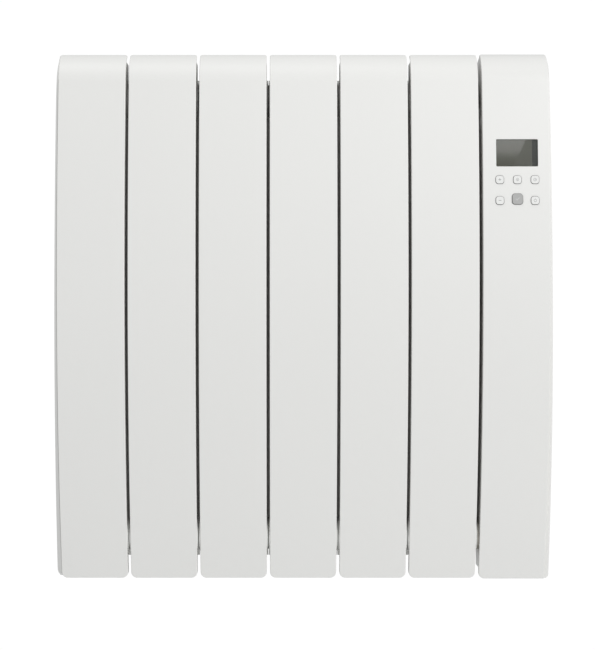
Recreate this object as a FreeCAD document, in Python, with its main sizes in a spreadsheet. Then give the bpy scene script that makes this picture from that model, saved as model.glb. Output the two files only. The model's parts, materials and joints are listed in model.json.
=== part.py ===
"""Wall-hung oil filled radiator: six die-cast sections in a row and a control housing at the right-hand end.

Frame: +Z up, -Y towards the room, +X to the right for someone who faces it.  The origin is on the wall,
in the middle of the four fixing holes, which is also the middle of the height and of the seven modules.
"""
import FreeCAD, Part
import math
import os
import re
import Sketcher

os.makedirs("parts", exist_ok=True)
doc = FreeCAD.newDocument("radiator")

# --------------------------------------------------------------------------------------------------
# Driving dimensions: millimetres and degrees.  Every name has an underscore, unlike the functions.
# --------------------------------------------------------------------------------------------------
SIZES = {
    # the row of modules
    "overall_height": 602, "body_depth": 80, "wall_gap": 18, "section_pitch": 80, "section_count": 6,
    "plate_gap": 3.7, "housing_gap": 0.5,
    # front profile, seen from the side: a long lower bow, a long upper bow and a tight brow
    "crest_rise": 42, "toe_depth": 29, "brow_radius": 40, "brow_lean": 8.1, "tip_lean": 70,
    # die-cast section
    "plate_wall": 2.4, "plate_edge": 0.9, "toe_corner": 7, "tip_corner": 2.5, "rim_wall": 2, "rim_depth": 12,
    "duct_depth": 58, "duct_rise": 10, "duct_flare": 18,
    "web_wall": 3, "web_rise": 26, "web_drop": 15, "back_wall": 2.5, "back_rise": 23, "back_drop": 25,
    "back_slit": 0.6, "lap_root": 6, "lap_reach": 1.5, "lap_wall": 1, "lap_gap": 0.3, "lap_rise": 7,
    "fin_wall": 1.8, "fin_step": 18, "fin_span": 56, "fin_rise": 95, "fin_drop": 36,
    "tube_width": 16, "tube_length": 26, "tube_wall": 3,
    # headers and what is screwed into them
    "header_rise": 51, "header_inset": 21, "boss_radius": 20.5, "header_bore": 15, "socket_radius": 16.6,
    "socket_depth": 17, "thread_gap": 0.05, "gasket_wall": 1, "gasket_lap": 0.2, "nipple_bore": 12.5,
    "nipple_length": 33, "plug_length": 14, "plug_recess": 6, "recess_depth": 8,
    # heating element
    "rod_radius": 4.25, "rod_spacing": 14, "rod_length": 420, "flange_radius": 18.5, "flange_wall": 6,
    "bush_radius": 3.4, "bush_length": 6, "stud_radius": 2, "stud_length": 10,
    # thermal cut-out on the upper right plug
    "cutout_radius": 8, "cutout_length": 8, "cutout_rim": 1.2, "cutout_tab": 6,
    # end panels: thinner at the top than at the toe
    "panel_drop": 14, "panel_lap": 9, "lap_lean": 50, "peg_radius": 5.7, "peg_length": 6,
    "left_thin": 1.6, "left_thick": 3.4, "left_setback": 1, "left_tip_lean": 60, "left_round": 5,
    "left_corner": 3, "left_edge": 1.4, "left_rise": 3.5,
    "right_thin": 1.2, "right_thick": 5.4, "right_setback": 4, "right_tip_lean": 70, "right_round": 2,
    "right_corner": 5, "right_edge": 1,
    # control housing
    "cover_wall": 2.5, "cover_split": 25, "cover_tip_lean": 74, "cover_toe_drop": 0.9,
    "joint_corner": 1.2, "cap_rise": 21,
    "cap_gap": 0.2, "cap_fall": 9, "cap_wall": 2.2, "cap_edge": 1, "shell_rise": 12, "hole_gap": 0.7,
    "post_radius": 4, "post_pilot": 1.6, "post_span": 56, "post_drop": 75, "post_rise": 60, "post_middle": 90,
    "screw_radius": 1.5, "screw_head": 2.9, "screw_head_length": 2.2, "screw_length": 16, "screw_web": 8,
    "vent_width": 2.4, "vent_length": 18, "vent_pitch": 7, "vent_count": 7,
    # display and keys
    "panel_centre_drop": 143.4, "controls_offset": 0.8, "display_width": 47.2, "display_height": 31.2,
    "display_rise": 27.8, "display_corner": 1.2, "window_gap": 0.2, "window_sink": 0.7, "window_lap": 2.5,
    "window_rest": 1, "flange_rim": 1, "lcd_gap": 0.2, "lcd_wall": 2.5, "lcd_frame": 3,
    "lcd_width": 50, "lcd_height": 34, "key_size": 9.1, "key_corner": 3, "confirm_size": 12,
    "confirm_corner": 3.2, "key_gap": 0.35, "key_pitch": 19.85, "key_row": 23.6, "upper_row_drop": 2.9,
    "confirm_lift": 1.65, "key_proud": 0.9, "key_travel": 0.8, "key_edge": 0.5, "collar_lap": 1.2,
    "collar_wall": 1, "collar_gap": 0.3, "stem_radius": 2, "board_depth": 11, "board_wall": 1.6,
    "board_width": 66, "board_height": 92, "board_post": 3, "board_inset": 3.5, "tact_size": 6,
    "tact_height": 3.5, "plunger_radius": 1.75, "plunger_height": 1.2, "plunger_gap": 0.1,
    # power electronics: each component's place on the board, and its size
    "power_width": 60, "power_height": 150, "power_lift": 14, "power_drop": 30, "power_post": 3,
    "power_inset": 5,
    "transformer_x": -10, "transformer_z": 45, "transformer_width": 32, "transformer_height": 27,
    "transformer_depth": 24, "relay_x": -14, "relay_z": -10, "relay_width": 19, "relay_height": 15.5,
    "relay_depth": 15, "terminal_x": 0, "terminal_z": -62, "terminal_width": 48, "terminal_height": 13,
    "terminal_depth": 16, "capacitor_x": 16, "capacitor_z": 8, "capacitor_width": 10, "capacitor_height": 18,
    "capacitor_depth": 16,
    # switch, gland and sensor in the floor of the housing
    "switch_length": 21, "switch_width": 15, "switch_depth": 14, "switch_lip": 0.95, "switch_wall": 1.4,
    "switch_offset": 14, "rocker_gap": 0.4, "rocker_play": 1.05, "rocker_tilt": 11,
    "rocker_length": 16, "rocker_width": 10.4,
    "rocker_rise": 1, "rocker_crown": 3.6, "rocker_ridge": 2.4, "rocker_body": 1, "axle_radius": 1.2,
    "axle_gap": 0.08, "axle_length": 12, "gland_offset": 20, "gland_radius": 6, "gland_flange": 8,
    "gland_bore": 3.6, "gland_length": 9, "gland_rim": 2, "gland_nut": 4, "floor_inset": 12.5,
    "sensor_radius": 2.4, "sensor_length": 13,
    "sensor_drop": 4, "sensor_offset": 4,
    # wall brackets
    "bracket_inset": 20, "bracket_width": 18, "bracket_wall": 2.5, "bracket_drop": 45, "bracket_end": 14,
    "bracket_hole": 3.25, "bracket_bend": 2, "lip_height": 9, "lip_gap": 1.2, "pad_wall": 1.5,
    "seat_gap": 0.3, "notch_gap": 2,
}

# Places and radii that follow from the sizes above.
DERIVED = {
    "top_z": "overall_height / 2",
    "toe_z": "-overall_height / 2",
    "back_y": "-wall_gap",
    "front_y": "-(wall_gap + body_depth)",
    "crest_z": "crest_rise",
    "toe_setback": "body_depth - toe_depth",
    "lower_bow": "((crest_z - toe_z)^2 + toe_setback^2) / (2 * toe_setback)",
    "brow_z": "top_z - brow_radius * (sin(tip_lean) - sin(brow_lean))",
    "upper_bow": "(brow_z - crest_z) / sin(brow_lean)",
    "lower_centre_y": "front_y + lower_bow",
    "upper_centre_y": "front_y + upper_bow",
    "brow_centre_y": "upper_centre_y - (upper_bow - brow_radius) * cos(brow_lean)",
    "brow_centre_z": "crest_z + (upper_bow - brow_radius) * sin(brow_lean)",
    "plate_width": "section_pitch - plate_gap",
    "boss_width": "section_pitch - gasket_wall",
    "header_z": "top_z - header_rise",
    "header_y": "back_y - header_inset",
    "first_x": "-section_count * section_pitch / 2",
    "last_x": "first_x + (section_count - 1) * section_pitch",
    "control_x": "last_x + section_pitch + housing_gap / 2",
    "housing_width": "plate_width - housing_gap",
    "cover_toe_z": "toe_z - cover_toe_drop",
    "window_seat": "cover_wall + window_rest",
    "bracket_room": "seat_gap + pad_wall + bracket_wall + notch_gap",
    "thread_radius": "socket_radius - thread_gap",
    "duct_top_z": "top_z - duct_rise",
    "flare_z": "top_z - header_rise",
    "duct_toe_z": "flare_z + duct_flare",
    "split_y": "back_y - cover_split",
    "seam_z": "top_z - cap_rise",
    "shell_toe_z": "toe_z + shell_rise",
    "panel_z": "top_z - panel_centre_drop",
    "panel_y": "upper_centre_y - sqrt(upper_bow^2 - (panel_z - crest_z)^2)",
    "panel_lean": "asin((panel_z - crest_z) / upper_bow)",
    "floor_y": "back_y - floor_inset",
}

sizes_sheet = doc.addObject("Spreadsheet::Sheet", "Sizes")
for row, (size_name, size_value) in enumerate(SIZES.items(), start=1):
    sizes_sheet.set(f"A{row}", size_name)
    sizes_sheet.set(f"B{row}", str(size_value))
    sizes_sheet.setAlias(f"B{row}", size_name)

NAME = re.compile(r"\b[a-z]+(?:_[a-z]+)+\b")


def with_sheets(text, derived_prefix="Derived."):
    """The expression with each name pointing at its sheet."""
    def cell(match):
        name = match.group()
        return "Sizes." + name if name in SIZES else derived_prefix + name

    return NAME.sub(cell, text)


derived_sheet = doc.addObject("Spreadsheet::Sheet", "Derived")
for row, (derived_name, formula) in enumerate(DERIVED.items(), start=1):
    derived_sheet.set(f"A{row}", derived_name)
    derived_sheet.set(f"B{row}", "=" + with_sheets(formula, derived_prefix=""))
    derived_sheet.setAlias(f"B{row}", derived_name)
doc.recompute()


def value(text):
    """The number that an expression gives now."""
    result = sizes_sheet.evalExpression(with_sheets(str(text)))
    return float(getattr(result, "Value", result))


# --------------------------------------------------------------------------------------------------
# Sketches.  A loop is a list of corners (x, y) or (x, y, radius), all expressions: a radius makes the side that
# leaves the corner an arc, anticlockwise where it is positive and clockwise where a minus sign comes first.
# --------------------------------------------------------------------------------------------------
def arc_between(start, end, radius):
    """Arc of a signed radius from start to end, the short way round."""
    chord = end - start
    half = chord.Length / 2
    rise = math.sqrt(max(radius * radius - half * half, 0.0))
    left = FreeCAD.Vector(-chord.y, chord.x, 0).normalize()
    centre = (start + end) / 2 + left * (rise if radius > 0 else -rise)
    first, second = (start, end) if radius > 0 else (end, start)
    angles = [math.atan2(point.y - centre.y, point.x - centre.x) for point in (first, second)]
    circle = Part.Circle(centre, FreeCAD.Vector(0, 0, 1), abs(radius))
    return Part.ArcOfCircle(circle, *angles)


def add_loop(sketch, corners):
    """Closed outline with every corner and radius held by an expression."""
    points = [FreeCAD.Vector(value(corner[0]), value(corner[1]), 0) for corner in corners]
    first_edge = sketch.GeometryCount
    count = len(corners)
    starts, ends = [], []
    for index, corner in enumerate(corners):
        start, end = points[index], points[(index + 1) % count]
        edge = first_edge + index
        if len(corner) == 2:
            sketch.addGeometry(Part.LineSegment(start, end), False)
            starts.append((edge, 1))
            ends.append((edge, 2))
        else:
            radius = value(corner[2])
            sketch.addGeometry(arc_between(start, end, radius), False)
            starts.append((edge, 1 if radius > 0 else 2))
            ends.append((edge, 2 if radius > 0 else 1))
    for index, corner in enumerate(corners):
        sketch.addConstraint(Sketcher.Constraint("Coincident", *ends[index - 1], *starts[index]))
        for direction, text, number in zip(("DistanceX", "DistanceY"), corner, points[index]):
            held = sketch.addConstraint(Sketcher.Constraint(direction, -1, 1, *starts[index], number))
            sketch.setExpression(f"Constraints[{held}]", with_sheets(text))
        if len(corner) == 3:
            text = corner[2].lstrip("-")
            held = sketch.addConstraint(Sketcher.Constraint("Radius", first_edge + index, value(text)))
            sketch.setExpression(f"Constraints[{held}]", with_sheets(text))


def add_circle(sketch, x, y, radius):
    centre = FreeCAD.Vector(value(x), value(y), 0)
    edge = sketch.addGeometry(Part.Circle(centre, FreeCAD.Vector(0, 0, 1), value(radius)), False)
    for kind, text in (("DistanceX", x), ("DistanceY", y)):
        held = sketch.addConstraint(Sketcher.Constraint(kind, -1, 1, edge, 3, value(text)))
        sketch.setExpression(f"Constraints[{held}]", with_sheets(text))
    held = sketch.addConstraint(Sketcher.Constraint("Radius", edge, value(radius)))
    sketch.setExpression(f"Constraints[{held}]", with_sheets(radius))


def rectangle(x, y, width, height):
    """Corners of a rectangle about the centre (x, y)."""
    left, right = f"({x}) - ({width}) / 2", f"({x}) + ({width}) / 2"
    low, high = f"({y}) - ({height}) / 2", f"({y}) + ({height}) / 2"
    return [(left, low), (right, low), (right, high), (left, high)]


def span(left, right, low, high):
    """Corners of a rectangle between two heights and two sides."""
    return [(left, low), (right, low), (right, high), (left, high)]


def rounded(x, y, width, height, radius):
    """Corners of a rectangle with round corners about the centre (x, y)."""
    left, right = f"({x}) - ({width}) / 2", f"({x}) + ({width}) / 2"
    low, high = f"({y}) - ({height}) / 2", f"({y}) + ({height}) / 2"
    return [(f"{left} + ({radius})", low), (f"{right} - ({radius})", low, radius),
            (right, f"{low} + ({radius})"), (right, f"{high} - ({radius})", radius),
            (f"{right} - ({radius})", high), (f"{left} + ({radius})", high, radius),
            (left, f"{high} - ({radius})"), (left, f"{low} + ({radius})", radius)]


def stadium(x, y, width, length):
    """Corners of a slot with half-round ends, longer along y."""
    radius = f"({width}) / 2"
    left, right = f"({x}) - {radius}", f"({x}) + {radius}"
    low, high = f"({y}) - (({length}) - ({width})) / 2", f"({y}) + (({length}) - ({width})) / 2"
    middle = f"{x}"
    bottom, top = f"({y}) - ({length}) / 2", f"({y}) + ({length}) / 2"
    return [(left, low, radius), (middle, bottom, radius), (right, low), (right, high, radius),
            (middle, top, radius), (left, high)]


# --------------------------------------------------------------------------------------------------
# Bodies and their features
# --------------------------------------------------------------------------------------------------
parts = []


def new_body(name, x="0", y="0", z="0"):
    """Body that is one sub-part, with its own origin at (x, y, z)."""
    body = doc.addObject("PartDesign::Body", name)
    body.Label = name
    place(body, x, y, z)
    parts.append(body)
    return body


def place(body, x, y, z):
    for axis, text in zip("xyz", (x, y, z)):
        body.setExpression(f"Placement.Base.{axis}", with_sheets(text))


def turn(body, axis, angle):
    """Turns the body about its own origin; the angle is a positive expression."""
    body.Placement = FreeCAD.Placement(body.Placement.Base, FreeCAD.Rotation(axis, 1))
    body.setExpression("Placement.Rotation.Angle", with_sheets(angle))


def origin_part(body, role):
    return next(feature for feature in body.Origin.OriginFeatures if feature.Role == role)


def sketch_on(body, role, loops=(), circles=(), lift=None):
    """Sketch on one of the body's own planes, lifted along the plane's normal."""
    sketch = body.newObject("Sketcher::SketchObject", "Sketch")
    sketch.AttachmentSupport = [(origin_part(body, role), "")]
    sketch.MapMode = "FlatFace"
    if lift:
        sketch.setExpression("AttachmentOffset.Base.z", with_sheets(lift))
    for corners in loops:
        add_loop(sketch, corners)
    for circle in circles:
        add_circle(sketch, *circle)
    return sketch


def finish_feature(body, feature, adds):
    """Recomputes and makes sure that the feature really added or took away material."""
    base = feature.BaseFeature
    before = base.Shape.Volume if base else 0.0
    doc.recompute()
    change = feature.Shape.Volume - before
    if (adds and change <= 0.0) or (not adds and change >= 0.0):
        raise RuntimeError(f"{body.Label}: {feature.Label} changes the volume by {change:.3f}")
    return feature


def pad(body, sketch, length, symmetric=False, reverse=False):
    feature = body.newObject("PartDesign::Pad", "Pad")
    feature.Profile = sketch
    feature.SideType = "Symmetric" if symmetric else "One side"
    feature.Reversed = reverse
    feature.setExpression("Length", with_sheets(length))
    return finish_feature(body, feature, adds=True)


def cut(body, sketch, length, symmetric=False, reverse=False):
    feature = body.newObject("PartDesign::Pocket", "Pocket")
    feature.Profile = sketch
    feature.SideType = "Symmetric" if symmetric else "One side"
    feature.Reversed = reverse
    feature.setExpression("Length", with_sheets(length))
    return finish_feature(body, feature, adds=False)


def revolve(body, sketch, axis_role, angle="360"):
    feature = body.newObject("PartDesign::Revolution", "Revolution")
    feature.Profile = sketch
    feature.ReferenceAxis = (origin_part(body, axis_role), [""])
    feature.setExpression("Angle", angle)
    return finish_feature(body, feature, adds=True)


def repeat(body, features, axis_role, pitch, count):
    """Row of copies of the features along one of the body's axes."""
    pattern = body.newObject("PartDesign::LinearPattern", "Row")
    pattern.Originals = features
    pattern.Direction = (origin_part(body, axis_role), [""])
    pattern.Mode = "Spacing"
    pattern.setExpression("Offset", with_sheets(pitch))
    pattern.setExpression("Occurrences", with_sheets(count))
    body.Tip = pattern
    doc.recompute()
    return pattern


def edges_where(shape, test):
    return [f"Edge{number}" for number, edge in enumerate(shape.Edges, start=1) if test(edge)]


def soften(body, kind, size, test):
    """Fillet or Chamfer on the edges of the body's tip that pass the test."""
    base = body.Tip
    names = edges_where(base.Shape, test)
    if not names:
        raise RuntimeError(f"{body.Label}: no edge to soften")
    feature = body.newObject("PartDesign::" + kind, kind)
    feature.Base = (base, names)
    feature.setExpression("Radius" if kind == "Fillet" else "Size", with_sheets(size))
    doc.recompute()
    return feature


def copy_of(original, name, x="0", y="0", z="0"):
    """Second sub-part of the same shape as the original, as a clone with its own place."""
    body = new_body(name, x, y, z)
    feature = body.newObject("PartDesign::FeatureBase", "Clone")
    feature.BaseFeature = original
    body.Tip = feature
    return body


SLACK = 0.01  # how far from its place an edge may be when it is picked


def near(number, text, slack=SLACK):
    return abs(number - value(text)) < slack


# --------------------------------------------------------------------------------------------------
# Front profile: every offset from it keeps the same three centres
# --------------------------------------------------------------------------------------------------
def lower_y(height, offset="0"):
    return f"lower_centre_y - sqrt((lower_bow - ({offset}))^2 - (({height}) - crest_z)^2)"


def upper_y(height, offset="0"):
    return f"upper_centre_y - sqrt((upper_bow - ({offset}))^2 - (({height}) - crest_z)^2)"


def brow_y(height, offset="0"):
    return f"brow_centre_y - sqrt((brow_radius - ({offset}))^2 - (({height}) - brow_centre_z)^2)"


def brow_start(offset):
    """Corner where the upper bow meets the brow."""
    return (f"upper_centre_y - (upper_bow - ({offset})) * cos(brow_lean)",
            f"crest_z + (upper_bow - ({offset})) * sin(brow_lean)")


def brow_tip(offset, lean="tip_lean"):
    """Corner where the brow ends."""
    return (f"brow_centre_y - (brow_radius - ({offset})) * cos({lean})",
            f"brow_centre_z + (brow_radius - ({offset})) * sin({lean})")


def rising_profile(low, offset="0"):
    """Corners up the front from a height on the lower bow to the start of the brow's arc."""
    return [(lower_y(low, offset), low, f"-(lower_bow - ({offset}))"),
            (f"front_y + ({offset})", "crest_z", f"-(upper_bow - ({offset}))"),
            (*brow_start(offset), f"-(brow_radius - ({offset}))")]


# --------------------------------------------------------------------------------------------------
# Die-cast section: bowed front plate with rims, web, fins, oil tube, two headers and a back plate
# --------------------------------------------------------------------------------------------------
def is_front_edge(edge, half_width, skip=0.5):
    """Edge along a side of the front face, not on the back of a rim."""
    box = edge.BoundBox
    on_side = abs(abs(box.XMin) - half_width) < SLACK and abs(abs(box.XMax) - half_width) < SLACK
    middle = edge.valueAt((edge.FirstParameter + edge.LastParameter) / 2)
    height = middle.z
    if height < value("crest_z"):
        surface = value(lower_y(repr(height)))
    elif height < value("brow_z"):
        surface = value(upper_y(repr(height)))
    else:
        surface = value(brow_y(repr(min(height, value("top_z") - SLACK))))
    return on_side and abs(middle.y - surface) < skip


def front_shell(body, width, low, tip, rear_corners, wall, hollow_toe, side_wall, right_corner="toe_corner"):
    """Bowed plate with side walls: outer block, round corners and edges, then the hollow behind it."""
    outer = rising_profile(low) + [brow_tip("0", tip)] + rear_corners
    pad(body, sketch_on(body, "YZ_Plane", [outer]), width, symmetric=True)

    def is_toe_edge(edge, side):
        box = edge.BoundBox
        upright = near(box.XMin, f"{side} * {width} / 2") and near(box.XMax, f"{side} * {width} / 2")
        return upright and near(box.ZMin, low) and near(box.ZMax, low)

    soften(body, "Fillet", "toe_corner", lambda edge: is_toe_edge(edge, "-1"))
    soften(body, "Fillet", right_corner, lambda edge: is_toe_edge(edge, "1"))
    height = brow_tip("0", tip)[1]
    scraps = []
    for side in ("-1", "1"):
        inner, outer = f"{side} * ({width} / 2 - tip_corner)", f"{side} * {width} / 2"
        beyond, above, below = f"{side} * ({width} / 2 + 1)", f"{height} + 1", f"{height} - tip_corner"
        bend = "-tip_corner" if side == "1" else "tip_corner"
        corner = [(inner, height, bend), (outer, below)]
        scraps.append(corner + [(beyond, below), (beyond, above), (inner, above)])
    cut(body, sketch_on(body, "XZ_Plane", scraps), "2 * body_depth", reverse=True)
    half_width = value(width) / 2
    soften(body, "Fillet", "plate_edge", lambda edge: is_front_edge(edge, half_width))
    inner = rising_profile(hollow_toe, wall)
    inner += [brow_tip(wall, tip), ("back_y", brow_tip(wall, tip)[1]), ("back_y", hollow_toe)]
    cut(body, sketch_on(body, "YZ_Plane", [inner]), f"{width} - 2 * {side_wall}", symmetric=True)


def section_rim():
    """Back edge of a section's rims: shallow below, and deep at the top where they shut the air duct."""
    return [(*brow_tip("plate_wall"), "brow_radius - plate_wall"),
            (brow_y("duct_top_z", "plate_wall"), "duct_top_z"),
            ("front_y + duct_depth", "duct_top_z"),
            ("front_y + duct_depth", "duct_toe_z"),
            (upper_y("flare_z", "rim_depth"), "flare_z", "upper_bow - rim_depth"),
            ("front_y + rim_depth", "crest_z", "lower_bow - rim_depth"),
            (lower_y("toe_z", "rim_depth"), "toe_z")]


def section_web():
    """Middle wall from the front plate to the back plate."""
    low, high, sunk = "toe_z + web_rise", "top_z - web_drop", "plate_wall / 2"
    return rising_profile(low, sunk) + [
        (brow_y(high, sunk), high), ("back_y - back_wall / 2", "top_z - back_drop"),
        ("back_y - back_wall / 2", low)]


def section_fin(offset):
    """Curved fin that runs parallel to the front plate and ends below the upper header and its bracket."""
    low, high = "toe_z + fin_rise", "header_z - boss_radius - bracket_room"
    outer, inner = offset, f"{offset} + fin_wall"
    return [(lower_y(low, outer), low, f"-(lower_bow - ({outer}))"),
            (f"front_y + {outer}", "crest_z", f"-(upper_bow - ({outer}))"),
            (upper_y(high, outer), high),
            (upper_y(high, inner), high, f"upper_bow - ({inner})"),
            (f"front_y + {inner}", "crest_z", f"lower_bow - ({inner})"),
            (lower_y(low, inner), low)]


def back_lap():
    """Lip on the right edge of the back plate, seen from above, that laps over the next section's plate."""
    joint = "section_pitch / 2"
    root, edge, end = f"{joint} - lap_root", f"{joint} - back_slit / 2", f"{joint} + lap_reach"
    plate = "back_y - back_wall"
    near_side, far_side = f"{plate} - lap_gap", f"{plate} - lap_gap - lap_wall"
    lap = [(end, far_side), (end, near_side), (edge, near_side)]
    return [(root, plate), (root, far_side), *lap, (edge, plate)]


def build_section(name, x):
    body = new_body(name, x)
    front_shell(body, "plate_width", "toe_z", "tip_lean", section_rim(), "plate_wall", "toe_z - plate_wall",
                "rim_wall")
    pad(body, sketch_on(body, "YZ_Plane", [section_web()]), "web_wall", symmetric=True)
    pad(body, sketch_on(body, "YZ_Plane", [section_fin("fin_step")]), "fin_span", symmetric=True)
    wings = [("-header_z", "header_z - boss_radius - bracket_room"), ("header_z", "top_z - fin_drop")]
    spans = [span("header_y - fin_wall / 2", "header_y + fin_wall / 2", low, high) for low, high in wings]
    pad(body, sketch_on(body, "YZ_Plane", spans), "fin_span", symmetric=True)
    back = span("back_y - back_wall", "back_y", "toe_z + back_rise", "top_z - back_drop")
    pad(body, sketch_on(body, "YZ_Plane", [back]), "section_pitch - back_slit", symmetric=True)
    lap = sketch_on(body, "XY_Plane", [back_lap()])
    pad(body, lap, "2 * (header_z - boss_radius + lap_rise)", symmetric=True)
    tube = stadium("0", "header_y", "tube_width", "tube_length")
    pad(body, sketch_on(body, "XY_Plane", [tube]), "2 * header_z", symmetric=True)
    headers = [("header_y", "header_z", "boss_radius"), ("header_y", "-header_z", "boss_radius")]
    pad(body, sketch_on(body, "YZ_Plane", circles=headers), "boss_width", symmetric=True)
    hollow = stadium("0", "header_y", "tube_width - 2 * tube_wall", "tube_length - 2 * tube_wall")
    cut(body, sketch_on(body, "XY_Plane", [hollow]), "2 * header_z", symmetric=True)
    bores = [(y, z, "header_bore") for y, z, radius in headers]
    cut(body, sketch_on(body, "YZ_Plane", circles=bores), "2 * boss_width", symmetric=True)
    sockets = [(y, z, "socket_radius") for y, z, radius in headers]
    for side, lift in ((1, "boss_width / 2"), (-1, "-boss_width / 2")):
        socket = sketch_on(body, "YZ_Plane", circles=sockets, lift=lift)
        cut(body, socket, "socket_depth", reverse=side < 0)
    notches = []
    half = "(bracket_width / 2 + notch_gap)"
    for side in ("-1", "1"):
        middle = f"{side} * bracket_inset"
        for header in ("header_z", "-header_z"):
            notches.append(span(f"{middle} - {half}", f"{middle} + {half}",
                                f"{header} - boss_radius - bracket_room",
                                f"{header} - boss_radius + notch_gap"))
    cut(body, sketch_on(body, "XZ_Plane", notches, lift="wall_gap"), "back_wall", reverse=True)
    return body


section_total = int(value("section_count"))
first_section = build_section("section_1", "first_x")
for number in range(1, section_total):
    copy_of(first_section, f"section_{number + 1}", f"first_x + {number} * section_pitch")


# --------------------------------------------------------------------------------------------------
# Nipples, gaskets and plugs of the two headers
# --------------------------------------------------------------------------------------------------
def ring_row(name, z, inner, outer, length, chamfer=None):
    """Row of rings about the header axis, one at each joint between two sections."""
    body = new_body(name, "first_x + section_pitch / 2", "header_y", z)
    ring = span(f"-({length}) / 2", f"({length}) / 2", inner, outer)
    solid = revolve(body, sketch_on(body, "XY_Plane", [ring]), "X_Axis")
    repeat(body, [solid], "X_Axis", "section_pitch", "section_count - 1")
    return body


for level, header in (("upper", "header_z"), ("lower", "-header_z")):
    ring_row(f"nipples_{level}", header, "nipple_bore", "thread_radius", "nipple_length")
    ring_row(f"joint_gaskets_{level}", header, "thread_radius + gasket_lap",
             "header_inset - back_wall - gasket_lap", "gasket_wall")


def build_plug(name, x, z):
    """Blind plug, flush with the end of the header, with a round recess for a panel's peg."""
    body = new_body(name, x, "header_y", z)
    stub = [("0", "0"), ("plug_length", "0"), ("plug_length", "thread_radius"), ("0", "thread_radius")]
    revolve(body, sketch_on(body, "XY_Plane", [stub]), "X_Axis")
    cut(body, sketch_on(body, "YZ_Plane", circles=[("0", "0", "plug_recess")]), "recess_depth", reverse=True)
    return body


LEFT_END, RIGHT_END = "first_x - boss_width / 2", "last_x + boss_width / 2"
upper_left_plug = build_plug("plug_upper_left", LEFT_END, "header_z")
copy_of(upper_left_plug, "plug_lower_left", LEFT_END, "header_y", "-header_z")
upper_right_plug = copy_of(upper_left_plug, "plug_upper_right", RIGHT_END, "header_y", "header_z")
turn(upper_right_plug, FreeCAD.Vector(0, 0, 1), "180")


def build_seal(name, x, z):
    """Flat seal between a plug and the shoulder of its socket."""
    body = new_body(name, x, "header_y", z)
    ring = span("plug_length", "socket_depth", "nipple_bore", "thread_radius - gasket_lap")
    revolve(body, sketch_on(body, "XY_Plane", [ring]), "X_Axis")
    return body


upper_left_seal = build_seal("plug_seal_upper_left", LEFT_END, "header_z")
copy_of(upper_left_seal, "plug_seal_lower_left", LEFT_END, "header_y", "-header_z")
upper_right_seal = copy_of(upper_left_seal, "plug_seal_upper_right", RIGHT_END, "header_y", "header_z")
turn(upper_right_seal, FreeCAD.Vector(0, 0, 1), "180")


# --------------------------------------------------------------------------------------------------
# Heating element in the lower header, its terminals and the thermal cut-out
# --------------------------------------------------------------------------------------------------
def build_element():
    """Threaded flange that carries a U of sheathed rod."""
    body = new_body("heating_element", RIGHT_END, "header_y", "-header_z")
    flange = [("-plug_length", "0"), ("flange_wall", "0"), ("flange_wall", "flange_radius"),
              ("0", "flange_radius"), ("0", "thread_radius"), ("-plug_length", "thread_radius")]
    revolve(body, sketch_on(body, "XY_Plane", [flange]), "X_Axis")
    rods = [("rod_spacing / 2", "0", "rod_radius"), ("-rod_spacing / 2", "0", "rod_radius")]
    rod_sketch = sketch_on(body, "YZ_Plane", circles=rods, lift="-plug_length")
    pad(body, rod_sketch, "rod_length - plug_length", reverse=True)
    bend = sketch_on(body, "YZ_Plane", circles=[rods[0]], lift="-rod_length")
    feature = body.newObject("PartDesign::Revolution", "Bend")
    feature.Profile = bend
    feature.ReferenceAxis = (bend, ["V_Axis"])
    feature.Angle = 180
    finish_feature(body, feature, adds=True)
    return body


build_element()


def build_terminals():
    """Ceramic bush and threaded stud on the end of each leg of the element."""
    body = new_body("element_terminals", RIGHT_END + " + flange_wall", "header_y - rod_spacing / 2",
                    "-header_z")
    stud = [("0", "0"), ("bush_length + stud_length", "0"), ("bush_length + stud_length", "stud_radius"),
            ("bush_length", "stud_radius"), ("bush_length", "bush_radius"), ("0", "bush_radius")]
    solid = revolve(body, sketch_on(body, "XY_Plane", [stud]), "X_Axis")
    repeat(body, [solid], "Y_Axis", "rod_spacing", "2")


build_terminals()


def build_cutout():
    """Disc thermostat pressed on the face of the upper right plug, with two tabs for its leads."""
    body = new_body("thermal_cutout", RIGHT_END, "header_y", "header_z")
    disc = [("0", "0"), ("cutout_length", "0"), ("cutout_length", "cutout_radius - cutout_rim"),
            ("cutout_length / 2", "cutout_radius - cutout_rim"), ("cutout_length / 2", "cutout_radius"),
            ("0", "cutout_radius")]
    revolve(body, sketch_on(body, "XY_Plane", [disc]), "X_Axis")
    tabs = [rectangle("cutout_radius / 2", "0", "cutout_rim", "cutout_tab"),
            rectangle("-cutout_radius / 2", "0", "cutout_rim", "cutout_tab")]
    pad(body, sketch_on(body, "YZ_Plane", tabs, lift="cutout_length"), "cutout_tab")


build_cutout()


# --------------------------------------------------------------------------------------------------
# End panels
# --------------------------------------------------------------------------------------------------
def add_panel_lap(body, low):
    """Strip along the front of the left panel that shuts the gap to the section, cut clear of the header."""
    outer, inner = "left_setback", "left_setback + panel_lap"
    strip = rising_profile(low, outer) + [
        brow_tip(outer, "lap_lean"), (*brow_tip(inner, "lap_lean"), f"brow_radius - ({inner})"),
        (*brow_start(inner), f"upper_bow - ({inner})"),
        (f"front_y + {inner}", "crest_z", f"lower_bow - ({inner})"), (lower_y(low, inner), low)]
    pad(body, sketch_on(body, "YZ_Plane", [strip]), "plate_gap / 2 - cap_gap")
    header = sketch_on(body, "YZ_Plane", circles=[("header_y", "-header_z", "boss_radius + 2 * cap_gap")])
    cut(body, header, "plate_gap / 2", reverse=True)


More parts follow.
